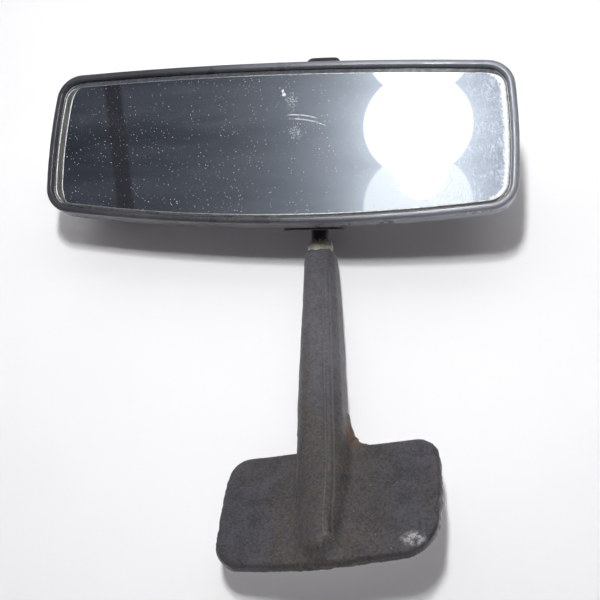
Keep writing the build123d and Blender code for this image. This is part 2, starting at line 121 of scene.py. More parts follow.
# ---- Material wiring ----
class Paint:
    """A material being wired: most methods add one node and return its output socket."""

    def __init__(self, name, colour=None, roughness=0.5, metallic=0.0):
        self.material = bpy.data.materials.new(name)
        self.material.use_nodes = True
        self.tree = self.material.node_tree
        self.shader = self.tree.nodes["Principled BSDF"]
        self.place = self.node("TexCoord").outputs["Object"]
        self.set("Roughness", roughness)
        self.set("Metallic", metallic)
        if colour:
            self.set("Base Color", colour)

    def put(self, socket, value):
        """Link a socket to another one, or give it a plain value."""
        if isinstance(value, bpy.types.NodeSocket):
            self.tree.links.new(value, socket)
        elif isinstance(value, tuple) and len(value) == 3 and socket.type == "RGBA":
            socket.default_value = (*value, 1)
        else:
            socket.default_value = value

    def node(self, kind, **inputs):
        """A new node with some of its inputs put by name."""
        node = self.tree.nodes.new("ShaderNode" + kind)
        for name, value in inputs.items():
            self.put(node.inputs[name], value)
        return node

    def set(self, name, value):
        """Put an input of the principled shader."""
        self.put(self.shader.inputs[name], value)

    def surface(self, shader):
        """Use another shader than the principled one."""
        self.put(self.tree.nodes["Material Output"].inputs["Surface"], shader)

    def blend(self, factor, first, second):
        """Mix of two shaders."""
        node = self.node("MixShader", Fac=factor)
        self.put(node.inputs[1], first)
        self.put(node.inputs[2], second)
        return node.outputs["Shader"]

    def stretched(self, scale, turn=(0, 0, 0)):
        """Object place, turned and scaled, for grain with a direction."""
        return self.node("Mapping", Vector=self.place, Rotation=turn, Scale=scale).outputs["Vector"]

    def noise(self, scale, detail=3.0, roughness=0.55, place=None, distortion=0.0):
        node = self.node("TexNoise", Vector=place or self.place, Scale=scale, Detail=detail,
                         Roughness=roughness, Distortion=distortion)
        return node.outputs["Fac"]

    def cells(self, scale, output="Distance", feature="F1"):
        node = self.node("TexVoronoi")
        node.feature = feature
        self.put(node.inputs["Vector"], self.place)
        self.put(node.inputs["Scale"], scale)
        return node.outputs[output]

    def attribute(self, name):
        node = self.node("Attribute")
        node.attribute_name = name
        return node.outputs["Fac"]

    def ramp(self, value, low, high, start=0.0, end=1.0):
        """Value taken smoothly from start to end as it goes from low to high."""
        node = self.node("MapRange")
        node.interpolation_type = "SMOOTHSTEP"
        for name, amount in (("Value", value), ("From Min", low), ("From Max", high),
                             ("To Min", start), ("To Max", end)):
            self.put(node.inputs[name], amount)
        return node.outputs["Result"]

    def math(self, operation, a, b=0.0):
        node = self.node("Math")
        node.operation = operation
        self.put(node.inputs[0], a)
        self.put(node.inputs[1], b)
        return node.outputs["Value"]

    def plus(self, a, b):
        return self.math("ADD", a, b)

    def times(self, a, b):
        return self.math("MULTIPLY", a, b)

    def most(self, a, b):
        return self.math("MAXIMUM", a, b)

    def apart(self, a, b):
        """How far two values are apart."""
        return self.math("ABSOLUTE", self.math("SUBTRACT", a, b))

    def mix(self, factor, a, b):
        node = self.node("Mix")
        node.data_type = "RGBA"
        self.put(node.inputs["Factor"], factor)
        self.put(node.inputs[6], a)
        self.put(node.inputs[7], b)
        return node.outputs[2]

    def bump(self, height, distance):
        node = self.node("Bump", Height=height, Distance=distance, Strength=1.0)
        self.set("Normal", node.outputs["Normal"])

    def specks(self, scale, size, share, seed=0.0):
        """Round specks: one cell in a few, chosen by the cell's colour, holds a dot."""
        shifted = self.node("Mapping", Vector=self.place, Location=(seed, seed * 0.7, seed * 1.3))
        cell = self.node("TexVoronoi", Vector=shifted.outputs["Vector"], Scale=scale)
        dot = self.ramp(cell.outputs["Distance"], size, size * 0.55)
        channels = self.node("SeparateColor", Color=cell.outputs["Color"])
        chosen = self.math("LESS_THAN", channels.outputs["Red"], share)
        strength = self.ramp(channels.outputs["Green"], 0.0, 1.0, 0.35, 1.0)
        return self.times(self.times(dot, chosen), strength)

    def distance(self, centre):
        """Distance from a point in object coordinates."""
        node = self.node("VectorMath")
        node.operation = "DISTANCE"
        self.put(node.inputs[0], self.place)
        self.put(node.inputs[1], centre)
        return node.outputs["Value"]


def scratches(paint, scale, width, turn, share):
    """Thin broken lines along one direction."""
    place = paint.stretched((1.0, 1.0, 0.03), turn)
    lines = paint.noise(scale, 1.0, 0.4, place)
    line = paint.ramp(paint.apart(lines, 0.5), width, 0.0)
    patches = paint.ramp(paint.noise(45.0, 2.0), 1.0 - share, 1.05 - share)
    return paint.times(line, patches)


# ---- Materials ----
def moulded_plastic(name, colour, roughness, grain, dust):
    """Black moulded plastic with a fine grain, dull patches, dust and a few light scratches, and a painted glare
    that pales the rim's colour towards one end.
    """
    paint = Paint(name)
    cloud = paint.noise(38.0, 4.0, 0.6)
    film = paint.times(paint.ramp(cloud, 0.42, 0.75), dust)
    speck = paint.specks(420.0, 0.11, 0.4)
    lines = paint.times(scratches(paint, 900.0, 0.006, (0.3, 0.2, 0.9), 0.5), 0.5)
    pale = paint.most(paint.most(film, paint.times(speck, 0.6)), lines)
    # Painted glare: the colour pales towards grey-blue where the rim's attribute is set, standing in for glare
    # beside the bright reflection.
    glare_paled = paint.mix(paint.attribute("painted_glare"), colour, (0.17, 0.18, 0.21))
    paint.set("Base Color", paint.mix(pale, glare_paled, (0.30, 0.29, 0.28)))
    wear = paint.noise(90.0, 5.0, 0.65)
    paint.set("Roughness", paint.ramp(wear, 0.3, 0.7, roughness - 0.07, roughness + 0.1))
    paint.set("Specular IOR Level", 0.45)
    paint.bump(paint.cells(1400.0, feature="SMOOTH_F1"), grain)
    return paint.material


def brushed_steel(name, colour, roughness, stain):
    """Plated or ground steel with directional marks, dull patches and a little brown staining."""
    paint = Paint(name, metallic=1.0)
    marks = paint.noise(2600.0, 2.0, 0.5, paint.stretched((1.0, 0.06, 0.06)))
    patches = paint.noise(70.0, 5.0, 0.65)
    rust = paint.times(paint.ramp(paint.noise(120.0, 6.0, 0.7), 0.56, 0.68), stain)
    plated = paint.mix(paint.ramp(patches, 0.35, 0.7), colour, tuple(0.72 * part for part in colour))
    paint.set("Base Color", paint.mix(rust, plated, (0.16, 0.085, 0.045)))
    worn = paint.ramp(patches, 0.3, 0.7, roughness, roughness + 0.18)
    paint.set("Roughness", paint.plus(worn, paint.times(rust, 0.3)))
    paint.set("Metallic", paint.ramp(rust, 0.1, 0.8, 1.0, 0.15))
    paint.bump(paint.plus(marks, paint.times(rust, 0.8)), 0.00003)
    return paint.material


def zinc_plate():
    """Dull zinc with a faint spangle, white bloom and rust spots."""
    paint = Paint("zinc_plate_look", metallic=1.0)
    spangle = paint.cells(260.0, "Color")
    tone = paint.ramp(paint.math("FRACT", spangle), 0.0, 1.0, 0.85, 1.0)
    bloom = paint.ramp(paint.noise(55.0, 6.0, 0.7), 0.5, 0.72)
    rust = paint.ramp(paint.noise(85.0, 6.0, 0.72, distortion=0.6), 0.58, 0.69)
    dull = paint.mix(tone, (0.25, 0.25, 0.25), (0.52, 0.52, 0.53))
    chalky = paint.mix(paint.times(bloom, 0.55), dull, (0.62, 0.62, 0.6))
    paint.set("Base Color", paint.mix(rust, chalky, (0.21, 0.105, 0.05)))
    paint.set("Metallic", paint.ramp(paint.most(bloom, rust), 0.1, 0.9, 0.95, 0.2))
    paint.set("Roughness", paint.ramp(paint.noise(150.0, 5.0), 0.3, 0.7, 0.42, 0.7))
    paint.bump(paint.noise(700.0, 5.0, 0.6), 0.00006)
    return paint.material


def enamel():
    """Smooth black enamel on the rod, with dust and tiny chips."""
    paint = Paint("enamel_look")
    chip = paint.specks(520.0, 0.16, 0.3)
    dust = paint.ramp(paint.noise(160.0, 4.0), 0.5, 0.8, 0.0, 0.25)
    dusty = paint.mix(dust, (0.066, 0.064, 0.074), (0.17, 0.16, 0.15))
    paint.set("Base Color", paint.mix(chip, dusty, (0.17, 0.12, 0.09)))
    paint.set("Roughness", paint.ramp(paint.noise(220.0, 4.0), 0.3, 0.7, 0.22, 0.42))
    paint.set("Coat Weight", 0.3)
    paint.set("Coat Roughness", 0.15)
    paint.bump(paint.noise(900.0, 3.0), 0.00003)
    return paint.material


def felt_fibre():
    """Beige felt, soiled in patches, with matted fibres."""
    paint = Paint("felt_look")
    soil = paint.ramp(paint.noise(350.0, 5.0, 0.65), 0.4, 0.7)
    strand = paint.noise(2600.0, 3.0, 0.6, paint.stretched((1.0, 0.5, 0.12), (0.4, 0.2, 0.6)))
    clean = paint.mix(strand, (0.22, 0.20, 0.165), (0.56, 0.52, 0.45))
    paint.set("Base Color", paint.mix(paint.times(soil, 0.4), clean, (0.17, 0.13, 0.09)))
    paint.set("Roughness", paint.ramp(strand, 0.2, 0.8, 0.85, 1.0))
    paint.set("Sheen Weight", 0.4)
    paint.set("Sheen Roughness", 0.5)
    paint.bump(strand, 0.0004)
    return paint.material


def aged_rubber():
    """Faded grey rubber: bluish where bare, paler grey along the arm, brown with ground-in dust, pale specks and
    pinholes. Pale lines along the ridge's edges are partly mould seam and partly painted highlight, and one foot
    corner has a painted highlight.
    """
    paint = Paint("aged_rubber_look")
    dust = paint.attribute("dust")
    crumb = paint.attribute("crumb")
    gloss_and_painted_highlight = paint.attribute("gloss_and_painted_highlight")
    seam_and_highlight = paint.attribute("seam_and_highlight")
    cloud = paint.noise(130.0, 6.0, 0.7)
    fine = paint.noise(900.0, 4.0, 0.7)
    tone = paint.plus(paint.times(cloud, 0.5), paint.times(fine, 0.5))
    bare = paint.mix(paint.ramp(tone, 0.38, 0.62), (0.022, 0.022, 0.026), (0.058, 0.056, 0.066))
    dirt = paint.mix(paint.ramp(fine, 0.35, 0.65), (0.036, 0.030, 0.026), (0.078, 0.066, 0.056))
    blotch = paint.ramp(paint.noise(210.0, 7.0, 0.75, distortion=0.4), 0.38, 0.62)
    spread = paint.times(paint.plus(paint.times(blotch, 0.75), 0.25), dust)
    pale_grey = paint.mix(paint.ramp(tone, 0.38, 0.62), (0.062, 0.060, 0.068), (0.108, 0.105, 0.118))
    # Paler grey along the arm than on the foot.
    paler_along_arm = paint.mix(paint.attribute("paler_along_arm"), bare, pale_grey)
    soiled = paint.mix(spread, paler_along_arm, dirt)
    dark = paint.times(paint.specks(330.0, 0.3, 0.5, 0.37), 0.35)
    mottled = paint.mix(dark, soiled, (0.018, 0.018, 0.02))
    pale = paint.times(paint.specks(480.0, 0.13, 0.22), 0.45)
    specked = paint.mix(pale, mottled, (0.42, 0.40, 0.37))
    rusty = paint.mix(crumb, specked, paint.mix(fine, (0.040, 0.026, 0.019), (0.13, 0.088, 0.060)))
    # Pale lines along the ridge's edges: partly its mould seam, partly a painted highlight where the edge rounds
    # over.
    ridge_pale_lines = paint.times(seam_and_highlight, paint.ramp(fine, 0.2, 0.55, 0.35, 1.0))
    lined = paint.mix(ridge_pale_lines, rusty, (0.15, 0.145, 0.15))
    # Painted highlight: a pale crackled patch on one foot corner; the same attribute also makes that corner
    # glossier.
    cracks = paint.ramp(paint.cells(520.0, feature="DISTANCE_TO_EDGE"), 0.0, 0.10, 0.35, 1.0)
    painted_highlight = paint.times(paint.times(gloss_and_painted_highlight, cracks), paint.ramp(fine, 0.30, 0.56))
    paint.set("Base Color", paint.mix(paint.times(painted_highlight, 0.6), lined, (0.52, 0.52, 0.54)))
    matt = paint.ramp(cloud, 0.3, 0.7, 0.58, 0.8)
    paint.set("Roughness", paint.math("SUBTRACT", matt, paint.times(gloss_and_painted_highlight, 0.42)))
    paint.set("Specular IOR Level", 0.42)
    paint.set("Sheen Weight", 0.06)
    pits = paint.cells(1100.0, feature="SMOOTH_F1")
    pinholes = paint.times(paint.specks(380.0, 0.2, 0.2, 0.61), -0.8)
    relief = paint.plus(paint.plus(pits, paint.times(fine, 0.8)), pinholes)
    paint.bump(relief, 0.00016)
    return paint.material


def face_point(centre):
    """Point x, z of the mirror's face, as a place in the object's frame."""
    return tuple(HEAD @ Vector((centre[0], MIRROR_FACE, centre[1])))


def silvered_glass():
    """Mirror seen through its glass: dust, wiped haze, fine scratches and worn silver at one end."""
    paint = Paint("silvered_glass_look", (0.80, 0.83, 0.86), 0.012, 1.0)
    worn = paint.attribute("worn")
    hazy = paint.attribute("hazy")
    dust = paint.times(paint.specks(720.0, 0.17, 0.85), 0.75)
    clustered = paint.times(dust, paint.ramp(paint.noise(42.0, 3.0), 0.36, 0.6, 0.55, 1.0))
    grit = paint.specks(270.0, 0.07, 0.4, 0.53)
    lines = paint.times(scratches(paint, 420.0, 0.0035, (0.2, 1.1, 0.4), 0.34), 0.22)
    marks = paint.most(clustered, paint.most(grit, lines))
    broken = paint.ramp(paint.noise(620.0, 3.0, 0.6), 0.38, 0.5, 0.3, 1.0)
    for centre, radius, width, middle, reach in MIRROR_ARCS:
        line = paint.ramp(paint.apart(paint.distance(face_point(centre)), radius), width, width * 0.3)
        kept = paint.ramp(paint.distance(face_point(middle)), reach, reach * 0.45)
        marks = paint.most(marks, paint.times(paint.times(line, kept), paint.times(broken, 0.85)))
    streaky = paint.times(paint.ramp(paint.noise(2200.0, 4.0, 0.8), 0.5, 0.6), 0.55)
    crusty = paint.most(streaky, paint.specks(1500.0, 0.42, 0.6, 0.21))
    for centre, radius, is_crusty, strength in MIRROR_SPOTS:
        away = paint.distance(face_point(centre))
        wobble = paint.ramp(paint.noise(560.0, 3.0, 0.7), 0.2, 0.8, -0.8 * radius, 0.8 * radius)
        spot = paint.times(paint.ramp(paint.plus(away, wobble), radius, radius * 0.6), strength)
        marks = paint.most(marks, paint.times(spot, crusty if is_crusty else 1.0))
    wiping = paint.noise(60.0, 5.0, 0.7, paint.stretched((1, 1, 3), (0, 0.7, 0)))
    scuffs = paint.noise(1000.0, 6.0, 0.8, paint.stretched((1, 1, 0.5), (0, 0.15, 0)))
    patchy = paint.ramp(paint.noise(130.0, 4.0, 0.6), 0.34, 0.66, 0.4, 1.0)
    scuffed = paint.times(paint.times(paint.ramp(scuffs, 0.34, 0.68), patchy), hazy)
    wiped = paint.plus(paint.ramp(wiping, 0.45, 0.85, 0.0, 0.03), paint.times(scuffed, 0.7))
    ragged = paint.plus(worn, paint.times(paint.noise(1000.0, 6.0, 0.8), 1.1))
    bare = paint.ramp(ragged, 1.20, 1.36)
    haze = paint.node("BsdfGlossy", Color=(0.72, 0.80, 0.92), Roughness=0.38)
    haze_share = paint.plus(paint.times(hazy, 0.012), 0.050)
    soft = paint.blend(haze_share, paint.shader.outputs["BSDF"], haze.outputs["BSDF"])
    tinted = paint.mix(hazy, (0.66, 0.68, 0.71), (0.68, 0.77, 0.92))
    matt = paint.node("BsdfDiffuse", Color=paint.mix(bare, tinted, (0.88, 0.88, 0.88)))
    veil = paint.most(marks, paint.most(wiped, paint.times(bare, 0.85)))
    paint.surface(paint.blend(veil, soft, matt.outputs["BSDF"]))
    return paint.material


def shadowed_glass():
    """Clear edge of the glass in front of the dark inside of the rim."""
    paint = Paint("shadowed_glass_look")
    murk = paint.noise(700.0, 4.0, 0.6)
    tone = paint.mix(paint.ramp(murk, 0.35, 0.65), (0.060, 0.064, 0.075), (0.095, 0.10, 0.115))
    paint.set("Base Color", tone)
    paint.set("Roughness", paint.ramp(murk, 0.3, 0.7, 0.08, 0.2))
    return paint.material


def ground_glass():
    """Frosted, slightly green edge of the glass."""
    paint = Paint("ground_glass_look")
    mottle = paint.noise(900.0, 5.0, 0.7)
    streak = paint.noise(1500.0, 3.0, 0.6, paint.stretched((1.0, 1.0, 0.08)))
    tone = paint.times(paint.plus(mottle, streak), 0.5)
    frosted = paint.mix(paint.ramp(tone, 0.38, 0.62), (0.050, 0.052, 0.050), (0.13, 0.136, 0.124))
    paint.set("Base Color", frosted)
    paint.set("Roughness", paint.ramp(mottle, 0.3, 0.7, 0.3, 0.6))
    paint.bump(mottle, 0.0001)
    return paint.material


def polished_edge():
    """Polished arris of the glass, with its bright glint painted into the colour."""
    paint = Paint("polished_edge_look")
    painted_glint = paint.noise(1200.0, 3.0, 0.6)
    bright = paint.mix(paint.ramp(painted_glint, 0.35, 0.6), (0.45, 0.48, 0.48), (0.92, 0.94, 0.93))
    # Painted glint: near-white base colour where the attribute is 1, dark where it is low.
    paint.set("Base Color", paint.mix(paint.attribute("painted_glint"), (0.065, 0.07, 0.08), bright))
    paint.set("Roughness", paint.ramp(painted_glint, 0.3, 0.7, 0.12, 0.3))
    paint.set("Coat Weight", 0.5)
    return paint.material


def mirror_back():
    """Grey protective paint on the back of the silver."""
    paint = Paint("mirror_back_look")
    brushed = paint.noise(500.0, 4.0, 0.6, paint.stretched((0.15, 1.0, 1.0)))
    paint.set("Base Color", paint.mix(brushed, (0.16, 0.155, 0.15), (0.24, 0.235, 0.225)))
    paint.set("Roughness", paint.ramp(brushed, 0.3, 0.7, 0.5, 0.75))
    paint.bump(brushed, 0.00005)
    return paint.material


def open_foam():
    """Dark open-cell foam."""
    paint = Paint("open_foam_look")
    pores = paint.cells(1500.0)
    paint.set("Base Color", paint.mix(paint.ramp(pores, 0.1, 0.6), (0.03, 0.03, 0.03), (0.13, 0.13, 0.125)))
    paint.set("Roughness", paint.ramp(pores, 0.0, 1.0, 0.85, 1.0))
    paint.bump(pores, 0.0004)
    return paint.material


def natural_nylon():
    """Milky nylon with grease in its hollows."""
    paint = Paint("natural_nylon_look")
    grease = paint.ramp(paint.noise(260.0, 5.0, 0.7), 0.48, 0.66)
    paint.set("Base Color", paint.mix(grease, (0.68, 0.66, 0.60), (0.30, 0.25, 0.17)))
    paint.set("Roughness", paint.ramp(grease, 0.0, 1.0, 0.45, 0.2))
    paint.set("Subsurface Weight", 0.1)
    paint.bump(paint.noise(1200.0, 3.0), 0.00003)
    return paint.material


MIRROR_FACE = -0.0202
MIRROR_ARCS = (
    # Ring centre x, z in the head frame; ring radius; half-width of the line; centre and radius
    # of the part kept.
    ((0.0041, 0.0250), 0.0380, 0.00036, (-0.0009, -0.0128), 0.0085),
    ((0.0041, 0.0259), 0.0370, 0.00034, (-0.0036, -0.0103), 0.0110),
)
MIRROR_SPOTS = (
    # Centre x, z in the head frame; radius; crusty or solid; strength.
    ((0.0042, -0.0200), 0.0030, True, 0.7),
    ((0.0040, -0.0178), 0.0026, True, 0.7),
    ((0.0018, -0.0044), 0.0032, True, 0.8),
    ((0.0034, -0.0052), 0.0024, True, 0.8),
    ((0.0086, -0.0246), 0.0009, False, 1.0),
    ((0.0080, -0.0226), 0.0009, False, 1.0),
)

steel = brushed_steel("plated_steel_look", (0.58, 0.58, 0.57), 0.3, 0.4)
ground = brushed_steel("ground_steel_look", (0.62, 0.62, 0.62), 0.2, 0.15)
blued = brushed_steel("blued_spring_look", (0.24, 0.25, 0.29), 0.26, 0.3)
zinc = zinc_plate()
carrier_black = moulded_plastic("carrier_plastic_look", (0.026, 0.026, 0.027), 0.5, 0.00005, 0.10)
rubber = aged_rubber()
felt = felt_fibre()

CAD_LOOKS = {
    "base_plate": zinc,
    "stem_saddle": zinc,
    "saddle_rivets": steel,
    "ball_stem": enamel(),
    "ball_seat": natural_nylon(),
    "spring_cup": blued,
    "detent_spring": blued,
    "socket_carrier": carrier_black,
    "socket_cap": carrier_black,
    "clamp_screws": steel,
    "spring_screw": steel,
    "hinge_pins": ground,
    "lever_pin": ground,
    "crank_pin": ground,
    "glass_pads": open_foam(),
    "housing": moulded_plastic("housing_plastic_look", (0.036, 0.035, 0.041), 0.46, 0.00005, 0.12),
    "bezel": moulded_plastic("bezel_plastic_look", (0.040, 0.040, 0.048), 0.31, 0.00002, 0.08),
    "dip_lever": moulded_plastic("lever_plastic_look", (0.018, 0.018, 0.02), 0.34, 0.00002, 0.08),
}
for name, look in CAD_LOOKS.items():
    for slot in nodes[name].material_slots:
        slot.material = look


# ---- Mesh helpers ----
def new_mesh(name, points, faces, matrix, looks, smooth=True):
    """A mesh object from points in a local frame, in millimetres."""
    m = np.array(matrix)
    place = (np.asarray(points) * MM) @ m[:3, :3].T + m[:3, 3]
    data = bpy.data.meshes.new(name)
    data.from_pydata(place.tolist(), [], [list(map(int, face)) for face in faces])
    data.validate()
    data.polygons.foreach_set("use_smooth", [smooth] * len(data.polygons))
    for look in looks:
        data.materials.append(look)
    return new_object(name, data)


def ring_faces(a, b, count, base=0):
    """Quads between rings number a and b of a stack of rings with count points each."""
    faces = []
    for k in range(count):
        beside = (k + 1) % count
        corners = (a * count + k, a * count + beside, b * count + beside, b * count + k)
        faces.append(tuple(base + corner for corner in corners))
    return faces


def set_attribute(piece, name, values):
    """Store one number for each vertex."""
    attribute = piece.data.attributes.new(name, "FLOAT", "POINT")
    attribute.data.foreach_set("value", np.asarray(values, np.float32))


def step(value, low, high):
    """Smooth step from 0 at low to 1 at high."""
    t = np.clip((value - low) / (high - low), 0, 1)
    return t * t * (3 - 2 * t)


def noise_at(points, size, seed=0.0, octaves=1):
    """Noise from -1 to 1 at each point, with features of that size."""
    shift = Vector((seed, seed * 1.7, seed * 2.3))
    scaled = points / size
    if octaves == 1:
        return np.array([noise.noise(Vector(p) + shift) for p in scaled])
    return np.array([noise.fractal(Vector(p) + shift, 0.7, 2.0, octaves) for p in scaled])


def surface_net(field, origin, spacing):
    """Points and quads of the zero level of a sampled distance field."""
    inside = field < 0
    nx, ny, nz = (size - 1 for size in field.shape)
    offsets = list(itertools.product((0, 1), repeat=3))
    stack = [inside[i:nx + i, j:ny + j, k:nz + k] for i, j, k in offsets]
    active = np.logical_or.reduce(stack) & ~np.logical_and.reduce(stack)
    cells = np.argwhere(active)
    index = np.full(active.shape, -1)
    index[active] = np.arange(len(cells))
    total = np.zeros((len(cells), 3))
    count = np.zeros((len(cells), 1))
    for axis in range(3):
        unit = np.eye(3, dtype=int)[axis]
        for offset in offsets:
            if offset[axis]:
                continue
            near = cells + offset
            far = near + unit
            a = field[near[:, 0], near[:, 1], near[:, 2]]
            b = field[far[:, 0], far[:, 1], far[:, 2]]
            cross = (a < 0) != (b < 0)
            share = np.where(cross, a / np.where(cross, a - b, 1), 0)[:, None]
            total += cross[:, None] * (np.array(offset) + share * unit)
            count += cross[:, None]
    points = origin + spacing * (cells + total / count)
    quads = []
    for axis in range(3):
        u, v = (axis + 1) % 3, (axis + 2) % 3
        first = np.moveaxis(inside, axis, 0)
        change = np.moveaxis(first[:-1] != first[1:], 0, axis)
        edges = np.argwhere(change)
        edges = edges[(edges[:, u] > 0) & (edges[:, v] > 0)]
        edges = edges[(edges[:, u] < index.shape[u]) & (edges[:, v] < index.shape[v])]
        corners = []
        for du, dv in ((0, 0), (1, 0), (1, 1), (0, 1)):
            cell = edges.copy()
            cell[:, u] -= du
            cell[:, v] -= dv
            corners.append(index[cell[:, 0], cell[:, 1], cell[:, 2]])
        ring = np.stack(corners, 1)
        leaving = inside[edges[:, 0], edges[:, 1], edges[:, 2]]
        ring[~leaving] = ring[~leaving][:, ::-1]
        quads.append(ring)
    return points, np.concatenate(quads)


def relax(points, quads, passes, amount=0.5):
    """Smooth a quad mesh by moving each point towards the mean of its neighbours."""
    a = quads.ravel()
    b = np.roll(quads, -1, axis=1).ravel()
    count = np.bincount(a, minlength=len(points)) + np.bincount(b, minlength=len(points))
    for _ in range(passes):
        mean = np.zeros_like(points)
        for k in range(3):
            mean[:, k] = np.bincount(a, points[b, k], len(points))
            mean[:, k] += np.bincount(b, points[a, k], len(points))
        points = points + amount * (mean / count[:, None] - points)
    return points


def point_normals(points, quads):
    """Unit normal at each point of a quad mesh."""
    a, b, c, d = (points[quads[:, corner]] for corner in range(4))
    diagonal = np.cross(c - a, d - b)
    normal = np.zeros_like(points)
    for corner in range(4):
        for k in range(3):
            normal[:, k] += np.bincount(quads[:, corner], diagonal[:, k], len(points))
    return normal / np.maximum(np.linalg.norm(normal, axis=1, keepdims=True), 1e-12)


def blend_min(a, b, reach):
    """Union of two distance fields with a fillet between them."""
    share = np.clip(0.5 + 0.5 * (b - a) / reach, 0, 1)
    return b * (1 - share) + a * share - reach * share * (1 - share)


def rounded_box(x, y, half_x, half_y, corner):
    """Distance to a rounded rectangle."""
    qx = np.abs(x) - half_x + corner
    qy = np.abs(y) - half_y + corner
    outside = np.hypot(np.maximum(qx, 0), np.maximum(qy, 0))
    return outside + np.minimum(np.maximum(qx, qy), 0) - corner


def slab(profile, height, low, high, corner):
    """Distance to a flat profile between two heights, with rounded rims."""
    rise = np.abs(height - (low + high) / 2) - (high - low) / 2
    a = profile + corner
    b = rise + corner
    return np.hypot(np.maximum(a, 0), np.maximum(b, 0)) + np.minimum(np.maximum(a, b), 0) - corner


# ---- Arm cover ----
# Foot frame: x across, s up the foot, h out from the mounting face. Arm frame: t down the arm,
# v out from its middle plane. Millimetres.
foot_points = local_points("arm_cover", FOOT)
FOOT_HALF = foot_points[:, 0].max()
FOOT_TOP = foot_points[:, 1].max()
FOOT_CORNER = 8.0
FOOT_THICK = 5.5
FOOT_TRIM = 1.9
FOOT_EDGE = FOOT_TOP - FOOT_TRIM
WEB_X = -16.2
WEB_WIDE = 7.0
WEB_TALL = 12.0
ROD_HEIGHT = 6.0
ROD_BEND = -14.0
COVER_END = 104.5
COVER_LOW = -118.0
COVER_HIGH = 52.0
BORE = 5.2
ARM_ALONG = (-30.0, -4.0, 30.0, 65.0, 98.0, COVER_END)
ARM_WIDTH = (13.0, 20.8, 19.6, 17.4, 15.0, 13.8)
ARM_DEPTH = (15.0, 16.5, 15.8, 14.8, 13.2, 12.2)
END_ROUND = 2.6
RIDGE_X = -4.1
RIDGE_HALF = 1.6
RIDGE_RISE = 0.75
RIDGE_TOP = 18.5
COVER_SPACING = 0.55

down_s = arm_down.dot(foot_up)
down_h = arm_down.dot(foot_out)


def arm_frame(s, h):
    """Place along the arm and out from its middle plane."""
    along = (s - ROD_BEND) * down_s + (h - ROD_HEIGHT) * down_h
    out = (s - ROD_BEND) * down_h - (h - ROD_HEIGHT) * down_s
    return along, out


def foot_field(x, s, h):
    """Distance to the foot: a bowed and leaning pad, a web to the arm and a swelling under it."""
    bow = (0.7 + 3.9 * (x / FOOT_HALF) ** 2) * step(s, -6.0, 20.0)
    lean = (0.8 + 1.4 * step(np.abs(s), 10.0, 26.0)) * step(x, 10.0, 44.0)
    lean = lean + 1.5 * (1 - ((s + 6.0) / 19.0) ** 2) * step(-x, 10.0, 44.0)
    sag = 2.3 * step(-x, 22.0, 43.0) * step(s, 6.0, 26.0) + 0.8 * step(x, 22.0, 44.0) * step(s, 2.0, 27.0)
    corner = FOOT_CORNER + 3.0 * step(-x, 20.0, 36.0) * step(s, 0.0, 12.0)
    outline = rounded_box(x + lean, s + bow - FOOT_TRIM / 2, FOOT_HALF, FOOT_TOP - FOOT_TRIM / 2, corner)
    pad = slab(outline, h + sag, -0.3, FOOT_THICK, 2.0)
    rise = np.maximum(0.0, -s - FOOT_EDGE) * abs(down_h / down_s)
    web_s = s + FOOT_EDGE + WEB_TALL / 2
    web = rounded_box(x - WEB_X / 2 - 3.0, web_s - 1.5, 3.0 - WEB_X / 2, WEB_TALL / 2 + 1.5, 0.5)
    curve_s = (web_s + WEB_TALL / 2) / WEB_TALL
    hollow_curve = WEB_WIDE * (1 - np.hypot((x - WEB_X) / WEB_WIDE, curve_s))
    web = slab(np.maximum(web, hollow_curve), h - rise, 0.4, 6.0, 0.8)
    flat = blend_min(pad, web, 1.0)
    swell_s = np.clip(s, -26.0, 18.5)
    swell = np.sqrt(x ** 2 + (s - swell_s) ** 2 + (h - 5.2) ** 2) - 8.0 + 1.9 * step(s, 8.0, 21.0)
    return blend_min(flat, swell, 5.0)


def arm_field(x, t, v):
    """Distance to the arm, tapered along its length, with a rounded end."""
    width = np.interp(t, ARM_ALONG, ARM_WIDTH)
    depth = np.interp(t, ARM_ALONG, ARM_DEPTH)
    taper = 1.0 + 0.13 * np.clip(v / depth, -0.5, 0.5)
    drift = 1.3 * step(-t, -95.0, -15.0)
    arm = rounded_box((x - drift) * taper, v, width / 2, depth / 2, 0.40 * np.minimum(width, depth))
    arm = arm + END_ROUND
    end = t - COVER_END + END_ROUND
    arm = np.hypot(np.maximum(arm, 0), np.maximum(end, 0)) + np.minimum(np.maximum(arm, end), 0) - END_ROUND
    return np.maximum(arm, -(t + 28.0))


def hollow_field(x, s, h, t, v):
    """Distance to the room for the plate, the strap, the rod and the sleeve."""
    pocket = slab(rounded_box(x, s, FOOT_HALF - 5.7, FOOT_TOP - 5.2, 5.0), h, -3.0, 2.3, 0.3)
    strap = slab(rounded_box(x, s - 3.0, 12.2, 10.6, 1.0), h, -3.0, 4.55, 0.3)
    channel = np.hypot(x, h - ROD_HEIGHT) - 4.3 - 1.4 * step(-s, -15.5, -14.0)
    channel = np.maximum(channel, np.maximum(s - 20.4, -(s + 17.0)))
    bore = np.maximum(np.hypot(x, v) - BORE - 0.1, -(t + 1.0))
    return np.minimum(np.minimum(pocket, strap), np.minimum(channel, bore))


def cover_field(x, s, h):
    """Distance to the moulded cover, with a ridge along its front."""
    t, v = arm_frame(s, h)
    solid = blend_min(foot_field(x, s, h), arm_field(x, t, v), 3.0)
    across = np.clip(1 - np.abs((x - RIDGE_X) / RIDGE_HALF) ** 4, 0, 1)
    front = step(v, 2.0, 4.5) * step(-t, -100.0, -84.0) * step(-s, -RIDGE_TOP - 1.2, -RIDGE_TOP + 0.8)
    solid = solid - RIDGE_RISE * across * front
    return np.maximum(np.maximum(solid, -hollow_field(x, s, h, t, v)), -h)


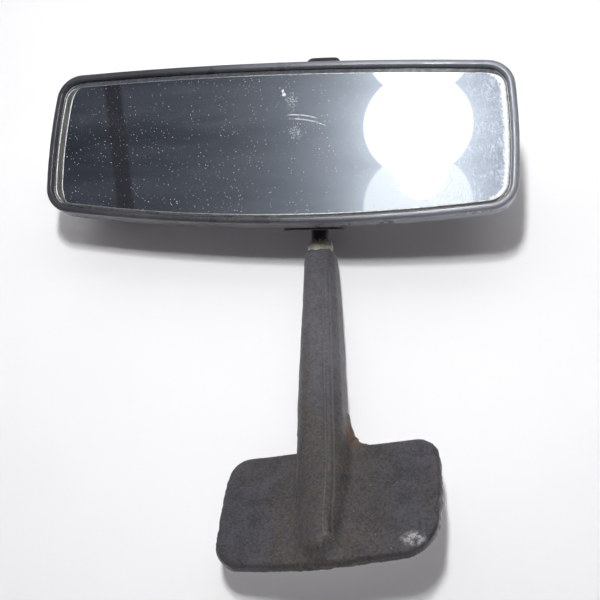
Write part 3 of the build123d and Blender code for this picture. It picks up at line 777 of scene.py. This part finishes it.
def make_cover():
    """Cover meshed from its distance field, then roughened where the rubber has perished."""
    low = np.array([-FOOT_HALF - 3.5, COVER_LOW, -1.5])
    high = np.array([FOOT_HALF + 2.5, FOOT_TOP + 2.5, COVER_HIGH])
    axes = [np.arange(a, b, COVER_SPACING) for a, b in zip(low, high)]
    x, s, h = np.meshgrid(*axes, indexing="ij", sparse=True)
    field = cover_field(x, s, h)
    points, quads = surface_net(field, low, COVER_SPACING)
    points = relax(points, quads, 2)
    normals = point_normals(points, quads)
    x, s, h = points.T
    t, v = arm_frame(s, h)
    outline = rounded_box(x, s, FOOT_HALF, FOOT_TOP, FOOT_CORNER)
    on_foot = step(s, -30.0, -26.0)
    edge = on_foot * step(outline, -3.0, -0.5)
    end = step(t, 99.0, 104.0)
    fillet = step(-np.hypot(x + 12.0, (s + FOOT_EDGE + 5.0) / 1.7), -6.0, -2.5) * step(-h, -14.0, -10.0)
    inner = np.hypot(x, v) < BORE + 0.4
    lumps = noise_at(points, 7.0, 1.0)
    grain = noise_at(points, 1.5, 4.0, 2)
    ragged = noise_at(points, 2.6, 9.0, 3)
    torn = np.where(ragged > 0.15, ragged, -0.1)
    move = 0.16 * lumps + 0.045 * grain + edge * 0.40 * ragged + fillet * (0.5 * torn + 0.15)
    move = np.where(inner & (end < 0.5), 0.0, move) + end * 0.35 * ragged
    points = points + normals * move[:, None]
    bite = end * (1.1 * noise_at(points, 3.4, 21.0, 2) - 0.3)
    away = np.array([0.0, down_s, down_h])
    points = points + away * (np.minimum(bite, 0.4) * step(t, 100.0, 104.3))[:, None]
    points[:, 2] = np.maximum(points[:, 2], 0.0)
    cover = new_mesh("cover_skin", points, quads, FOOT, [rubber])
    middle = step(-np.abs(x + 2.0), -34.0, -10.0) * step(s, -40.0, -20.0)
    streak = 0.35 * step(noise_at(points, 16.0, 14.0), 0.0, 0.5)
    brown_arm = step(-np.abs(x - 5.5), -5.0, -1.0) * step(-t, -75.0, -25.0) * 0.9
    set_attribute(cover, "dust", np.clip(np.maximum(middle * 0.95, brown_arm) + streak, 0, 1))
    # Paler grey along the arm than on the foot.
    set_attribute(cover, "paler_along_arm", 0.85 * step(t, -10.0, 55.0))
    crumbs = np.clip(fillet * 1.1 + edge * step(ragged, 0.25, 0.5) * 0.5, 0, 1)
    set_attribute(cover, "crumb", crumbs)
    # Glossier foot corner that also carries a painted highlight in the rubber's colour.
    corner = step(-np.hypot((x + 34.5) / 1.6, s - 19.6), -3.6, -1.2) * (h > 1.0)
    set_attribute(cover, "gloss_and_painted_highlight", corner * step(noise_at(points, 2.0, 30.0), -0.5, 0.2))
    # Lines along the ridge's edges and round its top end: partly mould seam, partly painted highlight.
    ridge_edge = step(-np.abs(np.abs(x - RIDGE_X) - RIDGE_HALF * 0.93), -0.42, -0.1)
    cap = step(-np.abs(x - RIDGE_X), -RIDGE_HALF, -RIDGE_HALF + 0.4)
    cap = cap * step(-np.abs(s - RIDGE_TOP), -1.0, -0.3)
    near_top = (s > RIDGE_TOP - 1.5) & (t < 20)
    line = np.where(near_top, np.maximum(cap, ridge_edge * (s < RIDGE_TOP)), ridge_edge)
    shown = step(v, 2.0, 5.0) * step(-t, -96.0, -70.0)
    set_attribute(cover, "seam_and_highlight", 0.42 * line * shown)
    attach(cover, "mount_arm")
    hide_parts("arm_cover")


make_cover()


# ---- Felt sleeve ----
SLEEVE_AROUND = 96
SLEEVE_START = 22.0
SLEEVE_END = 108.5
ROD_RADIUS = 4.0
FIBRES = 170
FIBRE_SIDES = 4
FIBRE_RINGS = 5


def arm_point(t, angle, radius):
    """Point of a tube round the arm's line, in the foot frame."""
    x = radius * math.sin(angle)
    out = radius * math.cos(angle)
    s = ROD_BEND + t * down_s + out * down_h
    h = ROD_HEIGHT + t * down_h - out * down_s
    return x, s, h


def make_sleeve():
    """Felt tube with a torn, flared end."""
    around = SLEEVE_AROUND
    length = SLEEVE_END - SLEEVE_START
    torn = [noise.fractal(Vector((3 * math.cos(a), 3 * math.sin(a), 5.0)), 0.8, 2.0, 3)
            for a in np.linspace(0, 2 * math.pi, around, endpoint=False)]
    profile = [(0.0, ROD_RADIUS + 0.05), (0.0, BORE - 0.05), (0.90, BORE - 0.05), (0.935, BORE)]
    profile += [(0.945 + 0.011 * k, BORE + 0.10 * k) for k in range(1, 6)]
    profile += [(1.0, BORE + 0.30), (1.0, ROD_RADIUS + 0.6), (0.985, ROD_RADIUS + 0.05)]
    points = []
    for part, radius in profile:
        for k in range(around):
            angle = 2 * math.pi * k / around
            loose = max(0.0, (part - 0.93) / 0.07)
            t = SLEEVE_START + length * part + loose * (1.5 * torn[k] - 0.5)
            rough = noise.noise(Vector((9 * math.cos(angle), 9 * math.sin(angle), 40 * part)))
            swell = loose * (0.45 * rough + 0.35 * torn[(k + 31) % around])
            if radius <= ROD_RADIUS + 0.1:
                swell = 0.0
            points.append(arm_point(t, angle, max(radius + swell, ROD_RADIUS + 0.05)))
    faces = []
    for ring in range(len(profile)):
        faces += ring_faces(ring, (ring + 1) % len(profile), around)
    sleeve = new_mesh("felt_sleeve", points, faces, FOOT, [felt])
    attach(sleeve, "mount_arm")
    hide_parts("stem_sleeve")


def make_fibres():
    """Short curled strands that stand out of the torn end."""
    points, faces = [], []
    sides = FIBRE_SIDES
    for _ in range(FIBRES):
        angle = random.uniform(0, 2 * math.pi)
        start = SLEEVE_END - random.uniform(0.3, 3.6)
        radius = random.uniform(BORE - 0.4, BORE + 0.5)
        reach = random.uniform(0.8, 2.6)
        rise = random.uniform(-0.1, 1.0)
        twist = random.uniform(-0.35, 0.35)
        thick = random.uniform(0.035, 0.075)
        base = len(points)
        for k in range(FIBRE_RINGS):
            part = k / (FIBRE_RINGS - 1)
            centre = np.array(arm_point(start + reach * part, angle + twist * part ** 2,
                                        radius + rise * math.sin(1.4 * part)))
            size = thick * (1 - 0.7 * part)
            for side in range(sides):
                turn = 2 * math.pi * side / sides
                across = (math.cos(turn), 0.3 * math.sin(turn), math.sin(turn))
                points.append(centre + size * np.array(across))
        for k in range(FIBRE_RINGS - 1):
            faces += ring_faces(k, k + 1, sides, base)
        faces.append(tuple(base + side for side in reversed(range(sides))))
        last = base + (FIBRE_RINGS - 1) * sides
        faces.append(tuple(last + side for side in range(sides)))
    fibres = new_mesh("felt_fibres", points, faces, FOOT, [felt])
    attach(fibres, "mount_arm")


make_sleeve()
make_fibres()


# ---- Rim and mirror glass ----
# Millimetres in the head frame: x across, y back from the face, z up.
LOOP_POINTS = 360
RIM_ROUND = 1.4
RIM_FLAT = 0.9
LIP_ROUND = 0.5
LIP_WIDTH = 3.4
LIP_GAP = 0.15
SEAT_WIDTH = 2.0
SHARP_ANGLE = 28
BEVEL_START = (0.55, 1.15, 1.15, 1.15)
BEVEL = (
    # Inset at the wide end, the other end, the top and the bottom; depth behind the front face;
    # number of the look of the band before.
    (0.00, 0.00, 0.00, 0.00, 0.60, 4),
    (0.50, 0.25, 0.02, 0.02, 0.50, 2),
    (1.15, 0.70, 0.10, 2.05, 0.45, 4),
    (1.65, 0.95, 0.12, 2.07, 0.38, 2),
    (4.30, 1.05, 0.90, 2.10, 0.08, 1),
    (4.80, 1.30, 1.25, 2.35, 0.00, 2),
)
FIELD = (0.03, 0.08, 0.16, 0.30, 0.60, 0.86)


def even_loop(outline):
    """A closed outline's points x, z, evenly spaced."""
    closed = np.vstack([outline, outline[:1]])
    length = np.concatenate([[0], np.cumsum(np.linalg.norm(np.diff(closed, axis=0), axis=1))])
    even = np.linspace(0, length[-1], LOOP_POINTS, endpoint=False)
    return np.stack([np.interp(even, length, closed[:, k]) for k in (0, 1)], 1)


def front_outline(points):
    """Outline of the front face of a node's points, and its depth."""
    depth = points[:, 1].min()
    face = points[points[:, 1] < depth + 0.05][:, [0, 2]]
    middle = (face.min(0) + face.max(0)) / 2
    angle = np.arctan2(face[:, 1] - middle[1], face[:, 0] - middle[0])
    return even_loop(face[np.argsort(angle)]), depth


def outer_outline(points):
    """Outline of the widest edge of a node's points, anticlockwise."""
    flat = sorted({(round(x, 3), round(z, 3)) for x, _, z in points})
    hull = []
    for run in (flat, flat[::-1]):
        chain = []
        for x, z in run:
            while len(chain) > 1:
                (x1, z1), (x2, z2) = chain[-2:]
                if (x2 - x1) * (z - z1) > (z2 - z1) * (x - x1):
                    break
                chain.pop()
            chain.append((x, z))
        hull += chain[:-1]
    return even_loop(np.array(hull))


def inward(loop):
    """Unit normals pointing into a closed loop."""
    along = np.roll(loop, -1, 0) - np.roll(loop, 1, 0)
    normal = np.stack([-along[:, 1], along[:, 0]], 1)
    return normal / np.linalg.norm(normal, axis=1, keepdims=True)


def at_depth(loop, depth):
    """A loop of x, z with a depth for each point or one for all."""
    return np.stack([loop[:, 0], np.full(len(loop), depth), loop[:, 1]], 1)


def make_bezel():
    """Rim with a rounded outside, a narrow flat and a lip that slopes down to the glass."""
    bezel = local_points("bezel", HEAD)
    front, back = bezel[:, 1].min(), bezel[:, 1].max()
    glass_front = local_points("prism_glass", HEAD)[:, 1].min()
    profile = [(0.0, back)]
    for k in range(7):
        angle = math.radians(15 * k)
        profile.append((RIM_ROUND * (1 - math.cos(angle)), front + RIM_ROUND * (1 - math.sin(angle))))
    lip = RIM_ROUND + RIM_FLAT
    for k in range(5):
        angle = math.radians(13 * k)
        profile.append((lip + LIP_ROUND * math.sin(angle), front + LIP_ROUND * (1 - math.cos(angle))))
    profile += [(LIP_WIDTH, glass_front - LIP_GAP), (LIP_WIDTH, glass_front)]
    profile += [(SEAT_WIDTH, glass_front), (SEAT_WIDTH, back)]
    loop = outer_outline(bezel)
    normal = inward(loop)
    points = np.concatenate([at_depth(loop + normal * inset, depth) for inset, depth in profile])
    faces = []
    for ring in range(len(profile)):
        faces += ring_faces(ring, (ring + 1) % len(profile), LOOP_POINTS)
    rim = new_mesh("rim", points, faces, HEAD, [CAD_LOOKS["bezel"]])
    # Painted glare: the rim's colour pales towards the end beside the bright lamp reflection.
    set_attribute(rim, "painted_glare", step(-points[:, 0] - 0.6 * points[:, 2], -60.0, 75.0))
    rim.data.set_sharp_from_angle(angle=math.radians(SHARP_ANGLE))
    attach(rim, "head")
    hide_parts("bezel")


def make_glass():
    """Wedge of glass: polished arris, ground bevel, bright inner arris, then the silvered field. Both arrises
    carry a painted glint.
    """
    wedge = local_points("prism_glass", HEAD)
    loop, front = front_outline(wedge)
    normal = inward(loop)
    low, high = loop.min(0), loop.max(0)
    centre = (low + high) / 2
    side = (loop[:, 0] - centre[0]) / ((high[0] - low[0]) / 2)
    upright = step(np.abs(normal[:, 0]), 0.20, 0.97)
    level = 1 - upright
    is_top = normal[:, 1] < 0
    weights = (upright * (side > 0), upright * (side <= 0), level * is_top, level * ~is_top)
    start = sum(weight * inset for weight, inset in zip(weights, BEVEL_START))
    points = [at_depth(loop, front + 1.0)]
    bands = []
    for *insets, depth, look in BEVEL:
        inset = start + sum(weight * inset for weight, inset in zip(weights, insets))
        points.append(at_depth(loop + normal * inset[:, None], front + depth))
        bands.append(look)
    inner = points[-1][:, [0, 2]]
    for share in FIELD:
        points.append(at_depth(inner + (centre - inner) * np.array((share * 0.97, share)), front))
        bands.append(0)
    top = wedge[wedge[:, 2] > wedge[:, 2].max() - 3][:, 1].max()
    foot = wedge[wedge[:, 2] < wedge[:, 2].min() + 3][:, 1].max()
    spread = (loop[:, 1] - low[1]) / (high[1] - low[1])
    points.append(at_depth(loop, foot + (top - foot) * spread))
    rings = len(points)
    n = LOOP_POINTS
    faces, looks = [], []
    for band in range(-1, rings - 2):
        faces += ring_faces(band % rings, band + 1, n)
        looks += [bands[band] if band >= 0 else 1] * n
    last = (rings - 2) * n
    faces.append(tuple(range(last, last + n)))
    faces.append(tuple((rings - 1) * n + k for k in reversed(range(n))))
    looks += [0, 3]
    all_points = np.concatenate(points)
    glass_looks = [silvered_glass(), ground_glass(), polished_edge(), mirror_back(), shadowed_glass()]
    glass = new_mesh("mirror_wedge", all_points, faces, HEAD, glass_looks, smooth=False)
    glass.data.polygons.foreach_set("material_index", looks)
    worn = np.zeros((rings, n))
    first = len(BEVEL)
    weight = 0.12 + 0.88 * step(-side, 0.82, 0.95)
    worn[first] = weight
    worn[first + 1] = 0.55 * weight * (side < 0)
    set_attribute(glass, "worn", worn.ravel())
    # Painted glint on the arris: full on the upright ends, dimmed along the level edges towards the wide end.
    painted_glint = upright + level * (0.2 + 0.8 * step(-side, -0.5, 0.3))
    set_attribute(glass, "painted_glint", np.tile(painted_glint, rings))
    end = (all_points[:, 0] - low[0]) / (high[0] - low[0])
    set_attribute(glass, "hazy", step(-end, -0.22, -0.02))
    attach(glass, "head")
    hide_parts("prism_glass")


make_bezel()
make_glass()


# ---- Stage and light ----
PAPER_NORMAL = Vector((0.184, 0.934, 0.305)).normalized()
PAPER_DISTANCE = 0.0175
FLOOR_DROP = 0.21
LAMP_REACH = 0.52
SKY_COLOUR = (1.0, 0.88, 0.94, 1)
SKY_STRENGTH = 0.09


def pale_look(name, one_sided):
    """Plain pale card. One-sided card is clear from behind, so it never hides the object."""
    paint = Paint(name, roughness=0.9)
    tone = paint.noise(6.0, 3.0)
    paint.set("Base Color", paint.mix(tone, (0.80, 0.80, 0.81), (0.86, 0.86, 0.87)))
    if one_sided:
        from_behind = paint.node("NewGeometry").outputs["Backfacing"]
        clear = paint.node("BsdfTransparent").outputs["BSDF"]
        paint.surface(paint.blend(from_behind, paint.shader.outputs["BSDF"], clear))
    return paint.material


def make_card(name, centre, normal, size, look):
    """A flat square card that faces along its normal."""
    data = bpy.data.meshes.new(name)
    corners = [(x * size / 2, y * size / 2, 0) for x, y in ((-1, -1), (1, -1), (1, 1), (-1, 1))]
    data.from_pydata(corners, [], [(0, 1, 2, 3)])
    data.materials.append(look)
    card = new_object(name, data)
    turn = normal.to_track_quat("Z", "Y").to_matrix().to_4x4()
    card.matrix_world = Matrix.Translation(centre) @ turn
    return card


def make_stage():
    """Paper that the mirror lies on, a floor below it, and a dim room for the glass to reflect."""
    middle = (Vector(cad_box[0]) + Vector(cad_box[1])) / 2
    on_paper = middle + PAPER_NORMAL * (PAPER_DISTANCE - middle.dot(PAPER_NORMAL))
    paper = make_card("paper", on_paper, -PAPER_NORMAL, 2.4, pale_look("paper_look", True))
    paper.visible_shadow = False
    floor_centre = Vector((middle.x, middle.y, cad_box[0][2] - FLOOR_DROP))
    floor = make_card("floor", floor_centre, Vector((0, 0, 1)), 6.0, pale_look("floor_look", False))
    floor.visible_glossy = False
    make_room()


LAMP_SPACING = 0.120
LAMP_RADIUS = 0.077
LAMP_IMAGES = (
    # Centre on the card; brightness.
    ((0, 0, 0), 2.5),
    ((0, -LAMP_SPACING, 0), 2.5),
    ((-0.003, LAMP_SPACING, 0), 0.55),
)
HALO_FALL = 0.022
POST_PLACE = 0.460
ROOM_PLACE = Vector((-0.004, -0.85, -0.300))


def make_room():
    """Dim room behind the camera, with a row of three round lamps: only glossy surfaces see it."""
    paint = Paint("room_look")
    axes = paint.node("SeparateXYZ", Vector=paint.place).outputs
    bands = paint.noise(11.0, 3.0, 0.6, paint.stretched((0.12, 1.0, 1.0), (0, 0, 0.1)))
    tone = paint.mix(paint.ramp(bands, 0.34, 0.66), (0.018, 0.021, 0.029), (0.052, 0.056, 0.070))
    slant = paint.plus(axes["X"], paint.times(axes["Y"], 0.187))
    post = paint.ramp(paint.apart(slant, POST_PLACE), 0.018, 0.009)
    tone = paint.mix(paint.times(post, 0.9), tone, (0.016, 0.014, 0.018))
    near, face = 1.0, 0.0
    for centre, bright in LAMP_IMAGES:
        away = paint.distance(centre)
        near = paint.math("MINIMUM", near, away)
        disc = paint.ramp(away, LAMP_RADIUS + 0.003, LAMP_RADIUS - 0.002, 0.0, bright)
        face = paint.most(face, disc)
    beyond = paint.most(paint.math("SUBTRACT", near, LAMP_RADIUS), 0.0)
    halo = paint.math("POWER", 0.5, paint.math("DIVIDE", beyond, HALO_FALL))
    glow = paint.mix(paint.times(halo, 0.39), tone, (0.85, 0.93, 1.0))
    glow = paint.mix(paint.math("MINIMUM", face, 1.0), glow, (1.0, 1.0, 1.0))
    lamps = paint.node("Emission", Color=glow, Strength=paint.most(face, 1.0))
    paint.surface(lamps.outputs["Emission"])
    centre = HEAD @ ROOM_PLACE
    room = make_card("room_card", centre, head_y, 2.2, paint.material)
    room.matrix_world = frame_matrix(head_x, head_z, head_x.cross(head_z), centre)
    room.visible_camera = False
    room.visible_diffuse = False
    room.visible_shadow = False
    room.visible_transmission = False


def make_lamp(name, place, aim, size, power, colour=(1, 1, 1), glossy=True):
    """Round or square soft lamp."""
    data = bpy.data.lights.new(name, "AREA")
    data.shape = "DISK"
    data.size = size
    data.energy = power
    data.color = colour
    lamp = new_object(name, data)
    lamp.location = place
    lamp.rotation_mode = "QUATERNION"
    lamp.rotation_quaternion = (place - aim).to_track_quat("Z", "Y")
    lamp.visible_camera = False
    lamp.visible_glossy = glossy
    return lamp


def make_light():
    """Two bright round lamps in front, broad soft fill all round, and a pale sky."""
    head_right = HEAD @ Vector((-0.055, -0.02, -0.005))
    first = Vector((-0.090, -0.936, -0.339)).normalized()
    second = Vector((-0.080, -0.966, -0.247)).normalized()
    make_lamp("lamp_high", head_right + first * LAMP_REACH, head_right, 0.050, 1.55)
    make_lamp("lamp_low", head_right + second * LAMP_REACH, head_right, 0.050, 1.10)
    aim = Vector((0.0, 0.03, -0.1))
    make_lamp("fill_front", Vector((0.5, -1.1, -0.3)), aim, 1.0, 0.3, (0.97, 0.98, 1.0), False)
    make_lamp("fill_top", Vector((0.1, -0.6, 0.75)), aim, 1.0, 0.9, (0.95, 0.97, 1.0), False)
    make_lamp("fill_back", Vector((-0.7, 0.9, 0.6)), aim, 1.0, 12.0, (1, 1, 1), True)
    make_lamp("fill_side", Vector((1.1, 0.5, 0.5)), aim, 0.9, 9.0, (1, 1, 1), True)
    world = bpy.data.worlds.new("sky")
    bpy.context.scene.world = world
    world.use_nodes = True
    sky = world.node_tree.nodes["Background"]
    sky.inputs["Color"].default_value = SKY_COLOUR
    sky.inputs["Strength"].default_value = SKY_STRENGTH
    bpy.context.scene.view_settings.view_transform = "Standard"


make_stage()
make_light()
